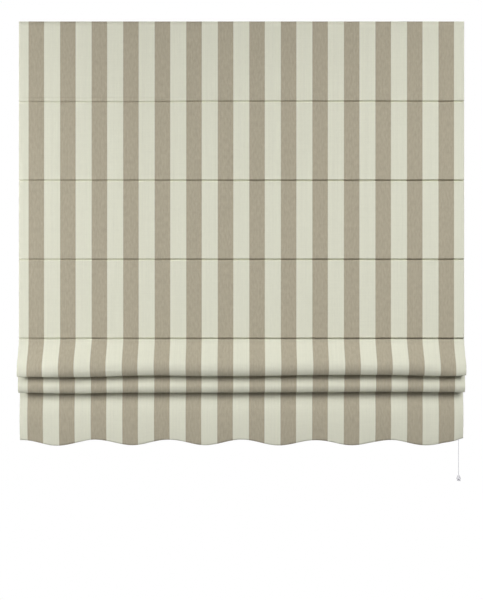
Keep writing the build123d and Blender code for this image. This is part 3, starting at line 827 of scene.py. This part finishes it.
def hemStitches():
    starts = []
    inset = halfWidth - (hemTurns["side"]["width"] - stitchSizes["hemEdge"]) * mm
    tops = [0.0] + [clothCut["firstTuck"] + i * clothCut["tuckPitch"] for i in range(clothCut["tucks"] - 1)]
    for top in tops:
        for x in (-inset, inset):
            starts.append((x, faceY + stitchSizes["hemBehind"] * mm, topZ - (top + stitchSizes["hemStart"]) * mm))
    stitchPiece("hemStitches", starts, stitchSizes["hemCount"], (0, 0, -stitchSizes["pitch"] * mm), upright=True)


pocketStitches()
hemStitches()
print("stitches set")


# rings: a round wire spun into a ring, each held to its pocket by turns of thread
ringSizes = {"wire": 0.8, "middle": 6.7, "steps": 44, "sides": 10}
threadTurns = {"wire": 0.2, "middle": 1.3, "steps": 20, "behind": 0.5, "apart": 0.45, "turns": (-1, 0, 1)}


def addRing(bm, sizes, place):
    before = set(bm.verts)
    circle = bmesh.ops.create_circle(bm, segments=ringSizes["sides"], radius=sizes["wire"] * mm,
                                     matrix=Matrix.Rotation(math.pi / 2, 4, "X"))["verts"]
    bmesh.ops.translate(bm, verts=circle, vec=(sizes["middle"] * mm, 0, 0))
    edges = list({e for v in circle for e in v.link_edges})
    bmesh.ops.spin(bm, geom=circle + edges, cent=(0, 0, 0), axis=(0, 0, 1), angle=2 * math.pi,
                   steps=sizes["steps"], use_merge=True)
    bmesh.ops.transform(bm, matrix=place, verts=[v for v in bm.verts if v not in before])


def ringsOn(node, threads):
    low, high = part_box(node)
    bm = bmesh.new()
    for _, leave in liftCords:
        middle = Vector((leave[0], (low.y + high.y) / 2, (low.z + high.z) / 2))
        addRing(bm, ringSizes, Matrix.Translation(middle))
        for turn in threadTurns["turns"]:
            spot = Vector((middle.x + turn * threadTurns["apart"] * mm, low.y + threadTurns["behind"] * mm, middle.z))
            addRing(threads, threadTurns, Matrix.Translation(spot) @ Matrix.Rotation(math.pi / 2, 4, "Y"))
    bmesh.ops.remove_doubles(bm, verts=bm.verts, dist=0.001 * mm)
    mesh = meshFrom(bm, node)
    mesh.materials.append(materials["ring"])
    piece = newPiece(node.replace("cord_rings_", "guideRings"), mesh)
    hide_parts(node)


def guideRings():
    threads = bmesh.new()
    for number in range(1, 6):
        ringsOn(f"cord_rings_{number}", threads)
    bmesh.ops.remove_doubles(threads, verts=threads.verts, dist=0.001 * mm)
    mesh = meshFrom(threads, "ringThreads")
    mesh.materials.append(materials["thread"])
    newPiece("ringThreads", mesh)


guideRings()
print("rings sewn on")


# hook and loop strips: a bevelled band with its pile raised inside a plain selvedge
stripSizes = {"selvedge": 1.6, "pile": 0.12, "edge": 0.2, "sewn": 0.55}


def fasteningStrip(node, name, material, pileWay, sewn=0.0):      # sewn: how far it reaches on to the cloth
    low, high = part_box(node)
    low = low - Vector((0, sewn * mm, 0))
    bm = bmesh.new()
    bmesh.ops.create_cube(bm, size=1.0)
    middle, size = (low + high) / 2, high - low
    thin = Vector((size.x, size.y - stripSizes["pile"] * mm, size.z))
    bmesh.ops.scale(bm, verts=bm.verts, vec=thin)
    bmesh.ops.translate(bm, verts=bm.verts, vec=middle - Vector((0, pileWay * stripSizes["pile"] * mm / 2, 0)))
    pile = [f for f in bm.faces if f.normal.y * pileWay > 0.9]
    bmesh.ops.inset_region(bm, faces=pile, thickness=stripSizes["selvedge"] * mm)
    bmesh.ops.translate(bm, verts=list({v for f in pile for v in f.verts}),
                        vec=(0, pileWay * stripSizes["pile"] * mm, 0))
    rims = [e for e in bm.edges if e.calc_length() > 0.01 and len(e.link_faces) == 2
            and e.calc_face_angle(0) > 0.8]
    bmesh.ops.bevel(bm, geom=rims, offset=stripSizes["edge"] * mm, offset_type="OFFSET", segments=2, profile=0.5,
                    material=-1, affect="EDGES")
    mesh = meshFrom(bm, name, smooth=False)
    mesh.materials.append(materials[material])
    piece = newPiece(name, mesh)
    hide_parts(node)


fasteningStrip("hook_tape", "hookStrip", "hookTape", -1)
fasteningStrip("loop_tape", "loopStrip", "loopTape", 1, stripSizes["sewn"])
print("fastening strips laid")


# finishes of the hard pieces, by the start of their names
finishes = (
    ("headrail_end_cap", "plastic"), ("headrail", "coat"), ("bottom_bar", "bar"), ("stiffening_rod", "glassRod"),
    ("cord_anchors", "plastic"), ("pulley_housing", "plastic"), ("pulley_roller", "roller"),
    ("pulley_pin", "steel"), ("cord_lock_pins", "steel"), ("cord_lock_roller", "roller"),
    ("cord_lock_pawl", "steel"), ("cord_lock_body", "plastic"), ("wall_bracket", "zinc"),
    ("swivel_clamp", "zinc"),
)
for name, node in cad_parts.items():
    finish = next((f for start, f in finishes if name.startswith(start)), None)
    if finish and not node.hide_render:
        node.data.materials.clear()
        node.data.materials.append(materials[finish])
print("finishes given")


# stage: a plain pale floor, a level lamp at the left, a high one at the right and a broad one behind
floorPlace = {"z": -2.1, "radius": 1.85, "sides": 96, "tone": 0.9, "bounce": 0.68, "glow": 0.45}
lamps = {
    "leftSoft": {"place": (-2.7, -1.78, -0.06), "aim": (-0.9, 0.0, -0.7), "size": (1.2, 1.55),
                 "power": 42.3, "spread": 119},
    "rightHigh": {"place": (2.01, -2.33, 0.81), "aim": (0.66, 0.0, -0.78), "size": (1.5, 1.9),
                  "power": 14.3, "spread": 66},
    "backSoft": {"place": (0.0, 2.4, 0.1), "aim": (0.0, 0.0, -0.5), "size": (2.0, 1.6),
                 "power": 24.0, "spread": 100},
}
worldLevel = 0.015


def addFloor():
    bm = bmesh.new()
    bmesh.ops.create_circle(bm, cap_ends=True, segments=floorPlace["sides"], radius=floorPlace["radius"])
    bmesh.ops.translate(bm, verts=bm.verts, vec=(0, 0, floorPlace["z"]))
    mesh = meshFrom(bm, "floor", smooth=False)
    material, tree, shader = newMaterial("paleFloor", 0.9)
    place = addNode(tree, "ShaderNodeTexCoord").outputs["Object"]
    look = useGroup(tree, grain, Place=place, Amount=0.02)
    seen = addNode(tree, "ShaderNodeLightPath").outputs["Is Camera Ray"]      # paler to the camera than to the cloth
    tone = calc(tree, "MULTIPLY_ADD", seen, floorPlace["tone"] - floorPlace["bounce"], floorPlace["bounce"])
    tone = calc(tree, "MULTIPLY", tone, look["Tone"])
    tree.links.new(toned(tree, (1.0, 1.0, 1.0), tone), shader.inputs["Base Color"])
    pale = addNode(tree, "ShaderNodeMixShader")
    feed(tree, pale.inputs[0], calc(tree, "MULTIPLY", seen, floorPlace["glow"]))
    tree.links.new(shader.outputs[0], pale.inputs[1])
    tree.links.new(addNode(tree, "ShaderNodeEmission").outputs[0], pale.inputs[2])
    tree.links.new(pale.outputs[0], next(n for n in tree.nodes if n.type == "OUTPUT_MATERIAL").inputs[0])
    mesh.materials.append(material)
    floor = bpy.data.objects.new("floor", mesh)
    scene.collection.objects.link(floor)


def addLamp(name, place, aim, size, power, spread):
    data = bpy.data.lights.new(name, "AREA")
    data.shape = "RECTANGLE"
    data.size, data.size_y = size
    data.energy = power
    data.spread = math.radians(spread)
    lamp = bpy.data.objects.new(name, data)
    lamp.location = place
    lamp.rotation_euler = (Vector(aim) - Vector(place)).to_track_quat("-Z", "Y").to_euler()
    scene.collection.objects.link(lamp)


def whiteWorld():                        # white to the camera, and soft light of its own
    world = bpy.data.worlds.new("studio")
    scene.world = world
    world.use_nodes = True
    tree = world.node_tree
    tree.nodes.clear()
    rays = addNode(tree, "ShaderNodeLightPath").outputs
    seen = calc(tree, "MAXIMUM", rays["Is Camera Ray"],
                calc(tree, "MAXIMUM", rays["Is Glossy Ray"], rays["Is Transmission Ray"]))
    back = addNode(tree, "ShaderNodeBackground")
    feed(tree, back.inputs["Strength"], calc(tree, "MULTIPLY_ADD", seen, 1.0 - worldLevel, worldLevel))
    tree.links.new(back.outputs[0], addNode(tree, "ShaderNodeOutputWorld").inputs[0])
    back.inputs["Color"].default_value = (1.0, 1.0, 1.0, 1.0)


addFloor()
for name, lamp in lamps.items():
    addLamp(name, **lamp)
whiteWorld()
print("stage lit")
